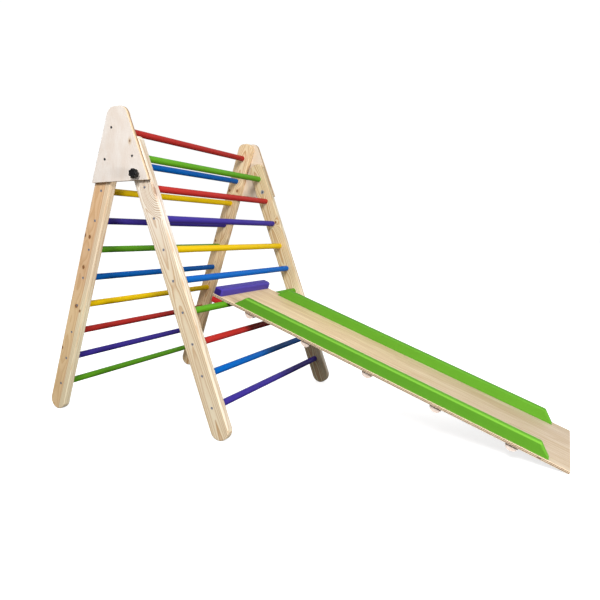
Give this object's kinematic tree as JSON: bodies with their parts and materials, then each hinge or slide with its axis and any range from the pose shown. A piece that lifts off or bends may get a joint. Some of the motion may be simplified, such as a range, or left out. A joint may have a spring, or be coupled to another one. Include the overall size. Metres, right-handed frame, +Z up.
{
  "type": "toddler slide",
  "caption": "Folding wooden climbing frame: two ladders with bright round rungs hinge on plates at the top and lock with star knobs, and a low ramp with side rails hooks on a rung as a slide.",
  "frame": {"origin": "on the floor, under the middle of the bounding box", "axes": "+X runs down the ramp, +Y is to the left of a child who sits on it, +Z is up"},
  "size_m": [1.6702, 0.834, 1.0051],
  "materials": {
    "pine": "clear lacquered pine",
    "pale_wood": "clear lacquered, pale",
    "tread_wood": "clear lacquered",
    "birch_plywood": "clear lacquered birch plywood",
    "green_paint": "satin paint",
    "red_paint": "satin paint",
    "purple_paint": "satin paint",
    "yellow_paint": "satin paint",
    "blue_paint": "satin paint",
    "screw_steel": "dull",
    "zinc_steel": "zinc plated",
    "black_plastic": "satin"
  },
  "bodies": {
    "front_frame": {"front_left_rail": "pine", "front_right_rail": "pine", "front_rung_1_green": "green_paint", "front_rung_2_red": "red_paint", "front_rung_3_purple": "purple_paint", "front_rung_4_yellow": "yellow_paint", "front_rung_5_blue": "blue_paint", "front_rung_6_green": "green_paint", "front_rung_7_red": "red_paint", "front_rung_8_blue": "blue_paint", "front_rung_9_purple": "purple_paint", "front_left_rung_screws": "screw_steel", "front_right_rung_screws": "screw_steel", "left_hinge_screw": "screw_steel", "right_hinge_screw": "screw_steel", "lock_nuts": "zinc_steel"},
    "back_frame": {"back_left_rail": "pine", "back_right_rail": "pine", "back_rung_1_red": "red_paint", "back_rung_2_blue": "blue_paint", "back_rung_3_yellow": "yellow_paint", "back_rung_4_purple": "purple_paint", "back_rung_5_green": "green_paint", "back_rung_6_blue": "blue_paint", "back_rung_7_yellow": "yellow_paint", "back_rung_8_red": "red_paint", "back_rung_9_purple": "purple_paint", "back_rung_10_green": "green_paint", "left_hinge_plate": "pale_wood", "right_hinge_plate": "pale_wood", "back_left_rung_screws": "screw_steel", "back_right_rung_screws": "screw_steel", "plate_screws": "screw_steel"},
    "left_stud": {"left_knob_stud": "zinc_steel"},
    "right_stud": {"right_knob_stud": "zinc_steel"},
    "left_knob": {"left_star_knob": "black_plastic"},
    "right_knob": {"right_star_knob": "black_plastic"},
    "ramp": {"ramp_board": "birch_plywood", "ramp_left_side_rail": "green_paint", "ramp_right_side_rail": "green_paint", "ramp_stop_bar": "purple_paint", "ramp_hook_block": "red_paint", "ramp_tread_1": "tread_wood", "ramp_tread_2": "tread_wood", "ramp_tread_3": "tread_wood", "ramp_tread_4": "tread_wood", "ramp_tread_5": "tread_wood", "hook_screws": "screw_steel", "side_rail_screws": "screw_steel", "tread_screws": "screw_steel"}
  },
  "joints": [
    {"name": "frame_fold", "type": "hinge", "parent": "front_frame", "child": "back_frame", "pos_m": [-0.39926, 0, 0.8531], "axis": [0, -1, 0], "range_deg": [0, 39]},
    {"name": "ramp_lift", "type": "hinge", "parent": "front_frame", "child": "ramp", "pos_m": [-0.23236, 0, 0.38178], "axis": [0, -1, 0], "range_deg": [0, 20.2]},
    {"name": "left_stud_travel", "type": "slide", "parent": "back_frame", "child": "left_stud", "axis": [0, 1, 0], "range_m": [0, 0.01]},
    {"name": "left_knob_turn", "type": "hinge", "parent": "left_stud", "child": "left_knob", "pos_m": [-0.3799, 0.404, 0.79843], "axis": [0, 1, 0], "range_deg": [0, 2880]},
    {"name": "right_stud_travel", "type": "slide", "parent": "back_frame", "child": "right_stud", "axis": [0, -1, 0], "range_m": [0, 0.01]},
    {"name": "right_knob_turn", "type": "hinge", "parent": "right_stud", "child": "right_knob", "pos_m": [-0.3799, -0.404, 0.79843], "axis": [0, -1, 0], "range_deg": [0, 2880]}
  ],
  "couplings": [
    {"joint": "left_stud_travel", "follows": "left_knob_turn", "m_per_rad": 0.00019894},
    {"joint": "right_stud_travel", "follows": "right_knob_turn", "m_per_rad": 0.00019894}
  ]
}
